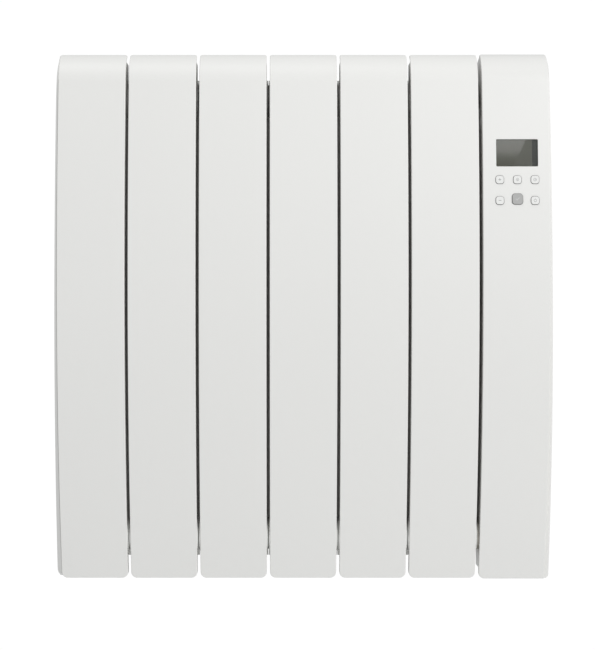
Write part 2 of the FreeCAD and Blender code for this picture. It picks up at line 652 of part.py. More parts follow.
def build_panel(name, side, x, low, end, lapped=False):
    """Moulded end panel: the body's plane x = 0 is its inner side, and side is the way its face looks."""
    words = ("thin", "thick", "setback", "round", "corner", "edge")
    thin, thick, setback, end_round, corner, edge_size = (f"{end}_{word}" for word in words)
    body = new_body(name, x)
    outward = side > 0
    tip = brow_tip(setback, f"{end}_tip_lean")
    outline = rising_profile(low, setback) + [tip, ("back_y", "top_z - panel_drop"), ("back_y", low)]
    pad(body, sketch_on(body, "YZ_Plane", [outline]), thick, reverse=not outward)

    def corner_edge(edge):
        box = edge.BoundBox
        across = near(box.XLength, thick) and near(box.YLength, "0") and near(box.ZLength, "0")
        return across and (near(box.ZMin, low) or near(box.ZMin, tip[1])) and box.YMax < value("back_y") - 1

    soften(body, "Fillet", end_round, corner_edge)

    # The face tapers, and after its edge is rounded its toe gets a round corner
    face, beyond = f"{side} * {thick}", f"{side} * ({thick} + 1)"
    taper = [(f"{side} * {thin}", "top_z"), (face, low), (beyond, low), (beyond, "top_z")]
    depth = "2 * (wall_gap + body_depth)"
    cut(body, sketch_on(body, "XZ_Plane", [taper]), depth, symmetric=True)

    def rim_edge(edge):
        outer = all(abs(vertex.X) > SLACK for vertex in edge.Vertexes)
        return outer and edge.BoundBox.YMin < value("back_y") - 1

    soften(body, "Fillet", edge_size, rim_edge)
    foot, under, over = f"{side} * ({thick} - {corner})", f"{low} - 1", f"{low} + {corner}"
    toe = [(face, over, "-" + corner if outward else corner), (foot, low), (foot, under), (beyond, under),
           (beyond, over)]
    cut(body, sketch_on(body, "XZ_Plane", [toe]), depth, symmetric=True)
    if lapped:
        add_panel_lap(body, f"{low} + {end_round}")
    pegs = [("header_y", "header_z", "peg_radius"), ("header_y", "-header_z", "peg_radius")]
    start = sketch_on(body, "YZ_Plane", circles=pegs)
    pad(body, start, "peg_length", reverse=outward)


build_panel("left_side_panel", -1, "first_x - section_pitch / 2", "toe_z + left_rise", "left", lapped=True)
build_panel("right_side_panel", 1, "control_x + housing_width / 2", "cover_toe_z", "right")


# --------------------------------------------------------------------------------------------------
# Control housing: front cover, rear shell and top cap, all of the section's width and profile
# --------------------------------------------------------------------------------------------------
PANEL_PLACE = ("control_x + controls_offset", "panel_y", "panel_z")
X_AXIS = FreeCAD.Vector(1, 0, 0)


def on_panel(body):
    """Leans the body so that its +Z looks out of the control panel and its +Y runs up the panel."""
    turn(body, X_AXIS, "90 deg - panel_lean")


def panel_sketch(body, loops=(), circles=(), depth="0"):
    """Sketch in the plane of the control panel, for the upright cover; depth is behind the face."""
    sketch = body.newObject("Sketcher::SketchObject", "Sketch")
    sketch.AttachmentSupport = [(origin_part(body, "XZ_Plane"), "")]
    sketch.MapMode = "FlatFace"
    sketch.AttachmentOffset = FreeCAD.Placement(FreeCAD.Vector(), FreeCAD.Rotation(-X_AXIS, 1))
    sketch.setExpression("AttachmentOffset.Rotation.Angle", with_sheets("panel_lean"))
    sketch.setExpression("AttachmentOffset.Base.x", with_sheets("controls_offset"))
    sketch.setExpression("AttachmentOffset.Base.y", with_sheets(f"panel_z + ({depth}) * -sin(panel_lean)"))
    sketch.setExpression("AttachmentOffset.Base.z", with_sheets(f"-panel_y - ({depth}) * cos(panel_lean)"))
    for corners in loops:
        add_loop(sketch, corners)
    for circle in circles:
        add_circle(sketch, *circle)
    return sketch


# Keys of the panel: name, column, row from the top, and whether it is the large key
KEYS = [("key_plus", -1, 0, False), ("key_mode", 0, 0, False), ("key_program", 1, 0, False),
        ("key_minus", -1, 1, False), ("key_confirm", 0, 1, True), ("key_standby", 1, 1, False)]


def key_centre(column, row, large):
    lift = " + confirm_lift" if large else ""
    return f"{column} * key_pitch", f"-upper_row_drop - {row} * key_row{lift}"


def key_outline(column, row, large, growth):
    size = f"({'confirm_size' if large else 'key_size'} + 2 * ({growth}))"
    corner = f"({'confirm_corner' if large else 'key_corner'} + {growth})"
    return rounded(*key_centre(column, row, large), size, size, corner)


def post_places():
    """Screw posts that join the rear shell to the front cover: two columns, at the top, middle and bottom."""
    heights = ("top_z - post_drop", "post_middle", "toe_z + post_rise")
    return [(f"{side} * post_span / 2", height) for height in heights for side in ("-1", "1")]


def build_front_cover():
    body = new_body("control_front_cover", "control_x")
    rear = [(*brow_tip("cover_wall", "cover_tip_lean"), "brow_radius - cover_wall"),
            (brow_y("seam_z", "cover_wall"), "seam_z"), ("split_y", "seam_z"), ("split_y", "cover_toe_z")]
    front_shell(body, "housing_width", "cover_toe_z", "cover_tip_lean", rear, "cover_wall",
                "cover_toe_z + cover_wall", "cover_wall", "joint_corner")
    for x, height in post_places():
        surface = (lower_y if height.startswith("toe") else upper_y)(height, "cover_wall")
        post = sketch_on(body, "XZ_Plane", circles=[(x, height, "post_radius")], lift="-split_y")
        pad(body, post, f"split_y - ({surface}) + cover_wall / 2")
        pilot = sketch_on(body, "XZ_Plane", circles=[(x, height, "post_pilot")], lift="-split_y")
        cut(body, pilot, "screw_length - screw_web + 1", reverse=True)
    window = rounded("0", "display_rise", "display_width", "display_height", "display_corner")
    holes = [key_outline(column, row, large, "key_gap") for name, column, row, large in KEYS]
    cut(body, panel_sketch(body, [window] + holes, depth="-cover_wall"), "3 * cover_wall")
    corners = board_posts()
    pad(body, panel_sketch(body, circles=corners, depth="board_depth"), "board_depth - cover_wall / 2")
    cut_header_holes(body)
    return body


def board_posts():
    half_width, half_height = "(board_width / 2 - board_inset)", "(board_height / 2 - board_inset)"
    return [(f"{x} * {half_width}", f"{y} * {half_height}", "board_post")
            for x in ("-1", "1") for y in ("-1", "1")]


def cut_header_holes(body):
    """Openings for the element's flange and the thermal cut-out, and the end panel's peg holes opposite."""
    holes = [("header_y", "-header_z", "flange_radius + hole_gap"),
             ("header_y", "header_z", "cutout_radius + hole_gap")]
    sketch = sketch_on(body, "YZ_Plane", circles=holes, lift="-housing_width / 2")
    cut(body, sketch, "cover_wall + flange_wall", reverse=True)
    pegs = [("header_y", "header_z", "peg_radius + cap_gap"),
            ("header_y", "-header_z", "peg_radius + cap_gap")]
    cut(body, sketch_on(body, "YZ_Plane", circles=pegs, lift="housing_width / 2"), "cover_wall")


def power_posts():
    half_width, half_height = "(power_width / 2 - power_inset)", "(power_height / 2 - power_inset)"
    return [(f"{x} * {half_width}", f"{z} * {half_height} - power_drop", "power_post")
            for x in ("-1", "1") for z in ("-1", "1")]


def build_rear_shell():
    body = new_body("control_rear_shell", "control_x")
    side = span("split_y", "back_y", "shell_toe_z", "seam_z")
    pad(body, sketch_on(body, "YZ_Plane", [side]), "housing_width", symmetric=True)
    hollow = span("split_y", "back_y - cover_wall", "shell_toe_z + cover_wall", "seam_z")
    cut(body, sketch_on(body, "YZ_Plane", [hollow]), "housing_width - 2 * cover_wall", symmetric=True)
    tubes = [(x, height, "post_radius") for x, height in post_places()]
    pad(body, sketch_on(body, "XZ_Plane", circles=tubes, lift="-split_y"), "cover_split", reverse=True)
    throughs = [(x, height, "post_pilot") for x, height in post_places()]
    cut(body, sketch_on(body, "XZ_Plane", circles=throughs, lift="-split_y"), "cover_split")
    wells = [(x, height, "screw_head + cap_gap") for x, height in post_places()]
    holes = sketch_on(body, "XZ_Plane", circles=wells, lift="-back_y")
    cut(body, holes, "cover_split - screw_web", reverse=True)
    posts = sketch_on(body, "XZ_Plane", circles=power_posts(), lift="-back_y + cover_wall / 2")
    pad(body, posts, "power_lift + cover_wall / 2")
    cut_header_holes(body)
    opening = rectangle("-switch_offset", "floor_y", "switch_length - 2 * switch_lip + 2 * cap_gap",
                        "switch_width - 2 * switch_lip + 2 * cap_gap")
    rounds = [("gland_offset", "floor_y", "gland_radius + cap_gap"),
              ("sensor_offset", "floor_y", "sensor_radius + cap_gap")]
    cut(body, sketch_on(body, "XY_Plane", [opening], rounds, lift="shell_toe_z"), "cover_wall", reverse=True)
    return body


def build_top_cap():
    """Cap that closes the housing behind the brow, with a row of vent slots."""
    body = new_body("control_top_cap", "control_x")

    def outline(inset):
        offset = f"cover_wall + cap_gap + {inset}"
        return [(brow_y("seam_z", offset), "seam_z", f"-(brow_radius - ({offset}))"),
                brow_tip(offset, "cover_tip_lean"),
                (f"back_y - ({inset})", f"top_z - cap_fall - ({inset})"), (f"back_y - ({inset})", "seam_z")]

    pad(body, sketch_on(body, "YZ_Plane", [outline("0")]), "housing_width", symmetric=True)
    soften(body, "Fillet", "cap_edge", lambda edge: edge.BoundBox.ZMin > value("top_z - cap_fall") - SLACK
           and edge.BoundBox.XLength < SLACK and edge.BoundBox.YLength > value("cap_wall"))
    hollow = sketch_on(body, "YZ_Plane", [outline("cap_wall")])
    cut(body, hollow, "housing_width - 2 * cap_wall", symmetric=True)
    middle = f"({brow_tip('0')[0]} + back_y) / 2"
    slot = stadium("-(vent_count - 1) / 2 * vent_pitch", middle, "vent_width", "vent_length")
    vent = cut(body, sketch_on(body, "XY_Plane", [slot], lift="seam_z"), "cap_rise", reverse=True)
    repeat(body, [vent], "X_Axis", "vent_pitch", "vent_count")
    return body


def build_cover_screws():
    """Screws that go in from the back, one down each well of the rear shell."""
    body = new_body("cover_screws", "control_x", "split_y + screw_web")
    heads = [(x, height, "screw_head") for x, height in post_places()]
    shanks = [(x, height, "screw_radius") for x, height in post_places()]
    pad(body, sketch_on(body, "XZ_Plane", circles=heads), "screw_head_length", reverse=True)
    pad(body, sketch_on(body, "XZ_Plane", circles=shanks), "screw_length")
    return body


build_front_cover()
build_rear_shell()
build_top_cap()
build_cover_screws()


# --------------------------------------------------------------------------------------------------
# Display and keys: bodies that lean with the control panel, with their own +Z looking out of it
# --------------------------------------------------------------------------------------------------
def panel_body(name):
    body = new_body(name, *PANEL_PLACE)
    on_panel(body)
    return body


def layer(body, loops, low, high, circles=()):
    """Plate between two depths of the panel's own frame."""
    return pad(body, sketch_on(body, "XY_Plane", loops, circles, lift=low), f"({high}) - ({low})")


def build_display():
    window = panel_body("display_window")
    pane = rounded("0", "display_rise", "display_width - 2 * window_gap", "display_height - 2 * window_gap",
                   "display_corner")
    layer(window, [pane], "-window_seat - flange_rim", "-window_sink")
    flange = rounded("0", "display_rise", "display_width + 2 * window_lap", "display_height + 2 * window_lap",
                     "display_corner")
    layer(window, [flange], "-window_seat - flange_rim", "-window_seat")
    front = "-window_seat - flange_rim - lcd_gap"
    screen = panel_body("lcd_panel")
    layer(screen, [rectangle("0", "display_rise", "lcd_width - 2 * lcd_gap", "lcd_height - 2 * lcd_gap")],
          f"{front} - lcd_wall", front)
    holder = panel_body("lcd_holder")
    frame = rectangle("0", "display_rise", "lcd_width", "lcd_height")
    opening = rectangle("0", "display_rise", "lcd_width - 2 * lcd_frame", "lcd_height - 2 * lcd_frame")
    layer(holder, [frame, opening], "-board_depth", f"{front} - lcd_wall")


def build_control_board():
    board = panel_body("control_board")
    sheet = rectangle("0", "0", "board_width", "board_height")
    layer(board, [sheet], "-board_depth - board_wall", "-board_depth")
    switches = panel_body("tact_switches")
    centres = [key_centre(column, row, large) for name, column, row, large in KEYS]
    cases = [rectangle(x, y, "tact_size", "tact_size") for x, y in centres]
    layer(switches, cases, "-board_depth", "-board_depth + tact_height")
    plungers = [(x, y, "plunger_radius") for x, y in centres]
    layer(switches, (), "-board_depth + tact_height", "-board_depth + tact_height + plunger_height", plungers)


def build_key(name, column, row, large):
    """Key cap with a collar behind the cover and a stem over its switch."""
    body = panel_body(name)
    collar_front = "-cover_wall - 2 * collar_gap"
    layer(body, [key_outline(column, row, large, "0")], collar_front, "key_proud")
    top = value("key_proud")

    def face_edge(edge):
        return all(abs(vertex.Point.z - top) < SLACK for vertex in edge.Vertexes)

    soften(body, "Fillet", "key_edge", face_edge)
    collar = key_outline(column, row, large, "collar_lap")
    layer(body, [collar], f"{collar_front} - collar_wall", collar_front)
    stem = (*key_centre(column, row, large), "stem_radius")
    stem_low = "-board_depth + tact_height + plunger_height + key_travel + plunger_gap"
    layer(body, (), stem_low, f"{collar_front} - collar_wall", [stem])


build_display()
build_control_board()
for key in KEYS:
    build_key(*key)


# --------------------------------------------------------------------------------------------------
# Power board in the rear shell
# --------------------------------------------------------------------------------------------------
def build_power_board():
    plate_place = ("control_x", "back_y - cover_wall - power_lift", "-power_drop")
    board = new_body("power_board", *plate_place)
    outline = rectangle("0", "0", "power_width", "power_height")
    pad(board, sketch_on(board, "XZ_Plane", [outline]), "board_wall")
    components = {"transformer": "transformer", "power_relay": "relay", "terminal_block": "terminal",
                  "suppression_capacitor": "capacitor"}
    for name, word in components.items():
        body = new_body(name, *plate_place)
        block = rectangle(f"{word}_x", f"{word}_z", f"{word}_width", f"{word}_height")
        pad(body, sketch_on(body, "XZ_Plane", [block], lift="board_wall"), f"{word}_depth")


build_power_board()


# --------------------------------------------------------------------------------------------------
# Floor of the housing: rocker switch, cord gland and room sensor
# --------------------------------------------------------------------------------------------------
SWITCH_PLACE = ("control_x - switch_offset", "floor_y", "shell_toe_z")


def build_switch():
    case = new_body("switch_case", *SWITCH_PLACE)
    bezel = rounded("0", "0", "switch_length", "switch_width", "switch_wall")
    pad(case, sketch_on(case, "XY_Plane", [bezel]), "switch_wall", reverse=True)
    inner = rectangle("0", "0", "switch_length - 2 * switch_lip", "switch_width - 2 * switch_lip")
    pad(case, sketch_on(case, "XY_Plane", [inner]), "switch_depth")
    recess = rectangle("0", "0", "rocker_length + 2 * rocker_play", "rocker_width + 2 * rocker_gap")
    cut(case, sketch_on(case, "XY_Plane", [recess], lift="-switch_wall"), "switch_wall + switch_depth / 2",
        reverse=True)
    axle = [("0", "rocker_rise", "axle_radius + axle_gap")]
    cut(case, sketch_on(case, "XZ_Plane", circles=axle), "2 * switch_width", symmetric=True)
    rocker = new_body("switch_rocker", SWITCH_PLACE[0], SWITCH_PLACE[1], SWITCH_PLACE[2] + " + rocker_rise")
    turn(rocker, FreeCAD.Vector(0, 1, 0), "rocker_tilt")
    wings = [("-rocker_length / 2", "-rocker_crown"), ("0", "-rocker_ridge"),
             ("rocker_length / 2", "-rocker_crown"), ("rocker_length / 2 - rocker_body", "rocker_body"),
             ("-rocker_length / 2 + rocker_body", "rocker_body")]
    pad(rocker, sketch_on(rocker, "XZ_Plane", [wings]), "rocker_width", symmetric=True)
    pin = sketch_on(rocker, "XZ_Plane", circles=[("0", "0", "axle_radius")])
    pad(rocker, pin, "axle_length", symmetric=True)


build_switch()


def build_gland():
    """Cord gland: flange under the floor, sleeve through it and nut above it."""
    body = new_body("cord_gland", "control_x + gland_offset", "floor_y", "shell_toe_z")
    nut_top = "cover_wall + gland_nut"
    profile = [("gland_bore", "-gland_rim"), ("gland_flange", "-gland_rim"), ("gland_flange", "0"),
               ("gland_radius", "0"), ("gland_radius", "cover_wall"), ("gland_flange", "cover_wall"),
               ("gland_flange", nut_top), ("gland_radius", nut_top),
               ("gland_radius", "gland_length"), ("gland_bore", "gland_length")]
    revolve(body, sketch_on(body, "XZ_Plane", [profile]), "Z_Axis")


def build_sensor():
    body = new_body("room_sensor", "control_x + sensor_offset", "floor_y", "shell_toe_z - sensor_drop")
    bead = [("0", "0"), ("sensor_radius", "0"), ("sensor_radius", "sensor_length"), ("0", "sensor_length")]
    revolve(body, sketch_on(body, "XZ_Plane", [bead]), "Z_Axis")
    soften(body, "Fillet", "sensor_radius / 2", lambda edge: edge.BoundBox.ZMax < SLACK and edge.Closed)


build_gland()
build_sensor()


# --------------------------------------------------------------------------------------------------
# Wall brackets under the headers, between two sections, each with a pad
# --------------------------------------------------------------------------------------------------
ARM_TOP = "-(boss_radius + seat_gap + pad_wall)"
ARM_LOW = ARM_TOP + " - bracket_wall"
LIP_IN = "header_y - boss_radius - lip_gap"


def runs_across(edge, corner):
    """Edge along x through the corner (y, z)."""
    box = edge.BoundBox
    return near(box.YMin, corner[0]) and near(box.ZMin, corner[1]) and near(box.XLength, "bracket_width")


def build_bracket(name, x, upper):
    body = new_body(name, x, "0", "header_z" if upper else "-header_z")
    if upper:
        outline = [("-bracket_wall", "-bracket_drop - bracket_end"), ("0", "-bracket_drop - bracket_end"),
                   ("0", ARM_TOP), (LIP_IN, ARM_TOP), (LIP_IN, ARM_TOP + " + lip_height"),
                   (LIP_IN + " - bracket_wall", ARM_TOP + " + lip_height"),
                   (LIP_IN + " - bracket_wall", ARM_LOW), ("-bracket_wall", ARM_LOW)]
    else:
        outline = [("0", ARM_LOW), ("0", "bracket_drop + bracket_end"),
                   ("-bracket_wall", "bracket_drop + bracket_end"), ("-bracket_wall", ARM_TOP),
                   ("header_y", ARM_TOP), ("header_y", ARM_LOW)]
    pad(body, sketch_on(body, "YZ_Plane", [outline]), "bracket_width", symmetric=True)
    if upper:
        bends = [(("0", ARM_TOP), ("-bracket_wall", ARM_LOW)),
                 ((LIP_IN + " - bracket_wall", ARM_LOW), (LIP_IN, ARM_TOP))]
    else:
        bends = [(("0", ARM_LOW), ("-bracket_wall", ARM_TOP))]
    for outer, inner in bends:
        soften(body, "Fillet", "bracket_bend + bracket_wall", lambda edge: runs_across(edge, outer))
        soften(body, "Fillet", "bracket_bend", lambda edge: runs_across(edge, inner))
    hole = [("0", "-bracket_drop" if upper else "bracket_drop", "bracket_hole")]
    cut(body, sketch_on(body, "XZ_Plane", circles=hole), "bracket_wall", reverse=True)
    end = LIP_IN + " + bracket_bend" if upper else "header_y"
    rest = new_body(name.replace("bracket", "pad"), x, "0", "header_z" if upper else "-header_z")
    strip = span(end, "back_y - back_wall", ARM_TOP, ARM_TOP + " + pad_wall")
    pad(rest, sketch_on(rest, "YZ_Plane", [strip]), "bracket_width", symmetric=True)


for side, x in (("left", "first_x + section_pitch + bracket_inset"), ("right", "last_x - bracket_inset")):
    build_bracket(f"wall_bracket_upper_{side}", x, upper=True)
    build_bracket(f"wall_bracket_lower_{side}", x, upper=False)

# --------------------------------------------------------------------------------------------------
# Check and write
# --------------------------------------------------------------------------------------------------
doc.recompute()
for item in doc.Objects:
    if "Invalid" in item.State or "Error" in item.State:
        raise RuntimeError(f"{item.Label} is {item.State}")
for body in parts:
    if body.Shape.isNull() or not body.Shape.isValid():
        raise RuntimeError(f"{body.Label} has no valid shape")
for body in parts:
    body.Shape.exportStep(f"parts/{body.Label}.step")
    print(f"{body.Label}: {len(body.Shape.Solids)} solid(s), {body.Shape.Volume / 1000:.2f} cm3")
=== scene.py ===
import json
import math

import bmesh
import bpy
from mathutils import Matrix, Vector


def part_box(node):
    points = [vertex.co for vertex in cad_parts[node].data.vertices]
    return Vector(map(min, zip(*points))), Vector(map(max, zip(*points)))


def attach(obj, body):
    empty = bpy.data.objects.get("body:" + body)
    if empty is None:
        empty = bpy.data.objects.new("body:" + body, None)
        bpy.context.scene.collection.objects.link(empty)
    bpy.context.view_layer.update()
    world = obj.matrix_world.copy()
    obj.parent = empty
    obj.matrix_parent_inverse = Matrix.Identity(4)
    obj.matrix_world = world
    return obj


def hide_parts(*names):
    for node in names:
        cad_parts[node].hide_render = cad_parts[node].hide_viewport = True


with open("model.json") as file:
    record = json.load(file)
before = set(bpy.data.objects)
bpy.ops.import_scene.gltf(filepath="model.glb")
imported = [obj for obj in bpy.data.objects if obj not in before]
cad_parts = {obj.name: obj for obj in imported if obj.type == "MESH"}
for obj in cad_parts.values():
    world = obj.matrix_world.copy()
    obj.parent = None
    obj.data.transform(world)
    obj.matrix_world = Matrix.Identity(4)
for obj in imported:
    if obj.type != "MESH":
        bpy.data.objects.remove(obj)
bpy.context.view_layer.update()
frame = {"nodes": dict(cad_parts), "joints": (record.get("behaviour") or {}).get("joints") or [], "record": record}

MM = 0.001
scene = bpy.context.scene
slots = {part["node"]: part["material_slot"] for part in frame["record"]["subparts"]}


# --------------------------------------------------------------------------------------------------
# The heater's own measures: places read from the frame, radii and rises as on the castings
# --------------------------------------------------------------------------------------------------
SECTION_LOW, SECTION_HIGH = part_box("section_1")
FRONT_Y, BACK_Y = SECTION_LOW.y, SECTION_HIGH.y
TOE_Z, TOP_Z = SECTION_LOW.z, SECTION_HIGH.z
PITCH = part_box("section_2")[0].x - SECTION_LOW.x
JOINT_HALF = 1.85 * MM          # half the gap between the fronts of two sections
CREST_Z = 42 * MM               # height at which the fronts stand out furthest
TOE_SETBACK = 51 * MM           # how far the foot lies behind the crest
TOE_CORNER = 7 * MM             # round corners of a section's foot
LOWER_BOW = ((CREST_Z - TOE_Z) ** 2 + TOE_SETBACK ** 2) / (2 * TOE_SETBACK)
UPPER_BOW = 1611 * MM
BROW_BOW = 40 * MM
BROW_LEAN = math.radians(8.1)   # where the upper bow passes into the brow


def press_axis(key):
    """Direction in which a key goes in."""
    axis = next(joint["axis"] for joint in frame["joints"] if joint["child"] == key)
    return Vector(axis).normalized()


KEYPAD_OUT = -press_axis("key_plus")
KEY_FACE = max(vertex.co.dot(KEYPAD_OUT) for vertex in frame["nodes"]["key_plus"].data.vertices)


# --------------------------------------------------------------------------------------------------
# Node helpers
# --------------------------------------------------------------------------------------------------
class Nodes:
    """Adds nodes to a tree and joins their sockets."""

    def __init__(self, tree):
        self.tree = tree

    def add(self, kind, **settings):
        node = self.tree.nodes.new(kind)
        for name, setting in settings.items():
            setattr(node, name, setting)
        return node

    def join(self, source, target):
        self.tree.links.new(source, target)

    def feed(self, item, socket):
        """Sets the socket to a number or colour, or joins another node's output to it."""
        if isinstance(item, (int, float, tuple)):
            socket.default_value = item
        else:
            self.join(item, socket)

    def place(self):
        """X, Y and Z of the point that is shaded, as three outputs by name."""
        parts = self.add("ShaderNodeSeparateXYZ")
        self.join(self.add("ShaderNodeTexCoord").outputs["Object"], parts.inputs[0])
        return parts.outputs

    def math(self, operation, first, second=0.0):
        node = self.add("ShaderNodeMath", operation=operation)
        for socket, item in zip(node.inputs, (first, second)):
            self.feed(item, socket)
        return node.outputs[0]

    def ramp(self, source, low, high, out_low=0.0, out_high=1.0):
        """Smooth passage from out_low, where source is low, to out_high, where it is high."""
        node = self.add("ShaderNodeMapRange", interpolation_type="SMOOTHSTEP")
        names = ("Value", "From Min", "From Max", "To Min", "To Max")
        for name, item in zip(names, (source, low, high, out_low, out_high)):
            self.feed(item, node.inputs[name])
        return node.outputs["Result"]

    def blend(self, factor, first, second):
        """Colour first where factor is 0, second where it is 1."""
        node = self.add("ShaderNodeMix", data_type="RGBA")
        for name, item in zip(("Factor", "A", "B"), (factor, first, second)):
            self.feed(item, node.inputs[name])
        return node.outputs["Result"]


def new_group(name, inputs, outputs):
    """Shader node group with float or colour sockets: inputs are (name, kind, default)."""
    group = bpy.data.node_groups.new(name, "ShaderNodeTree")
    sockets = group.interface
    for socket_name, kind, default in inputs:
        socket = sockets.new_socket(name=socket_name, in_out="INPUT", socket_type="NodeSocket" + kind)
        socket.default_value = default
    for socket_name, kind in outputs:
        sockets.new_socket(name=socket_name, in_out="OUTPUT", socket_type="NodeSocket" + kind)
    nodes = Nodes(group)
    return group, nodes, nodes.add("NodeGroupInput"), nodes.add("NodeGroupOutput")


def make_surface_group():
    """Slow drift of shade and gloss over a surface, and its fine tooth."""
    group, nodes, given, result = new_group(
        "surface_drift",
        [("Colour", "Color", (0.8, 0.8, 0.8, 1)), ("Shade Spread", "Float", 0.03),
         ("Drift Scale", "Float", 8.0), ("Gloss", "Float", 0.4), ("Gloss Spread", "Float", 0.05),
         ("Tooth Scale", "Float", 900.0)],
        [("Colour", "Color"), ("Roughness", "Float"), ("Height", "Float")])
    place = nodes.add("ShaderNodeTexCoord").outputs["Object"]
    drift = nodes.add("ShaderNodeTexNoise")
    drift.inputs["Detail"].default_value = 3.0
    nodes.join(place, drift.inputs["Vector"])
    nodes.join(given.outputs["Drift Scale"], drift.inputs["Scale"])
    darker = nodes.math("MULTIPLY", drift.outputs["Fac"], given.outputs["Shade Spread"])
    shade = nodes.math("SUBTRACT", 1.0, darker)
    tint = nodes.add("ShaderNodeVectorMath", operation="SCALE")
    nodes.join(given.outputs["Colour"], tint.inputs[0])
    nodes.join(shade, tint.inputs["Scale"])
    tooth = nodes.add("ShaderNodeTexNoise")
    tooth.inputs["Detail"].default_value = 2.0
    nodes.join(place, tooth.inputs["Vector"])
    nodes.join(given.outputs["Tooth Scale"], tooth.inputs["Scale"])
    even = nodes.math("SUBTRACT", drift.outputs["Fac"], 0.5)
    change = nodes.math("MULTIPLY", even, given.outputs["Gloss Spread"])
    gloss = nodes.math("ADD", given.outputs["Gloss"], change)
    nodes.join(tint.outputs[0], result.inputs["Colour"])
    nodes.join(gloss, result.inputs["Roughness"])
    nodes.join(tooth.outputs["Fac"], result.inputs["Height"])
    return group


LOWER_BEND = TOE_SETBACK / (CREST_Z - TOE_Z) ** 2
UPPER_BEND = 1 / (2 * UPPER_BOW)
JOINT_EDGE, JOINT_CLEAR = 0.15 * MM, 0.03 * MM      # painted shade in the joints begins this far out from a plate's side
TIPS_FROM, TIPS_TO = 20 * MM, 14 * MM               # where the curled tips begin, down from the top


def make_painted_shade_group():
    """Where the sections are left without painted shade: 1 on the fronts, rims and back, 0 inside, where grey
    shade is painted.
    """
    group, nodes, given, result = new_group(
        "painted_shade_mask",
        [("Front", "Float", 0.03), ("Fade", "Float", 0.02), ("Back", "Float", -0.02)],
        [("Unshaded", "Float")])
    place = nodes.place()
    depth, height = place["Y"], place["Z"]
    # the front's two bows are close to two parabolas about the crest
    rise = nodes.math("SUBTRACT", height, CREST_Z)
    below = nodes.math("MINIMUM", rise, 0.0)
    above = nodes.math("MAXIMUM", rise, 0.0)
    low_bow = nodes.math("MULTIPLY", nodes.math("MULTIPLY", below, below), LOWER_BEND)
    high_bow = nodes.math("MULTIPLY", nodes.math("MULTIPLY", above, above), UPPER_BEND)
    front = nodes.math("ADD", nodes.math("ADD", low_bow, high_bow), FRONT_Y)
    behind = nodes.math("SUBTRACT", depth, front)
    limit = nodes.math("ADD", given.outputs["Front"], given.outputs["Fade"])
    seen = nodes.ramp(behind, given.outputs["Front"], limit, 1.0, 0.0)
    # painted shade also on the headers' ends, in the narrow joints between the sections
    turns = nodes.math("FRACT", nodes.math("DIVIDE", place["X"], PITCH))
    away = nodes.math("ABSOLUTE", nodes.math("SUBTRACT", turns, 0.5))
    off_joint = nodes.math("MULTIPLY", away, PITCH)
    clear = nodes.ramp(off_joint, JOINT_HALF - JOINT_EDGE, JOINT_HALF - JOINT_CLEAR)
    rear = nodes.math("GREATER_THAN", depth, given.outputs["Back"])
    # above the ducts only the curled tips are left, free of painted shade on both sides
    tip = nodes.ramp(height, TOP_Z - TIPS_FROM, TOP_Z - TIPS_TO)
    outside = nodes.math("MAXIMUM", rear, tip)
    front_unshaded = nodes.math("MINIMUM", seen, clear)
    nodes.join(nodes.math("MAXIMUM", front_unshaded, outside), result.inputs["Unshaded"])
    return group


SURFACE = make_surface_group()
UNSHADED_MASK_GROUP = make_painted_shade_group()


# --------------------------------------------------------------------------------------------------
# Finishes
# --------------------------------------------------------------------------------------------------
PAINTED_GAP_SHADE = (0.04, 0.04, 0.04, 1)            # painted shade in the narrow gaps round the keys
PAINTED_GAP_GLOW = (0.01, 0.01, 0.0095, 1)          # painted glow that stands in for stray light deep between the sections
NO_LIGHT = (0, 0, 0, 1)
PAINTED_SHADE_GREY = (0.7, 0.7, 0.68, 1)          # painted shade: grey deep inside the sections and in their joints
SHADE_DEPTH, SHADE_FADE = 14 * MM, 24 * MM    # how far behind the fronts the painted shade begins, and over how much it fades in
BACK_SKIN = 0.3 * MM                        # what lies this near to the back plane gets no painted shade
COAT_GLOSS = 0.1
FLANK_DEPTH, FLANK_FADE = 0.3 * MM, 0.15 * MM   # where a key's side begins, below its face
WELL_DEPTH, WELL_FADE = 1.6 * MM, 0.2 * MM      # where a key well's wall begins, below the keys' faces
WELL_MARGIN = 1 * MM                            # how far the wells reach beyond the outer keys
BORDER_WIDTH, BORDER_BLUR = 7.5 * MM, 0.3 * MM  # dark strip along the display's right-hand side
BORDER_DARK = (0.045, 0.047, 0.041, 1)
TRACK_GREEN = (0.08, 0.28, 0.12, 1)
TRACK_SCALE, TRACK_HALF, TRACK_EDGE = 160.0, 0.02, 0.06


def place_group(nodes, group, **values):
    node = nodes.add("ShaderNodeGroup", node_tree=group)
    for name, item in values.items():
        node.inputs[name.replace("_", " ").title()].default_value = item
    return node


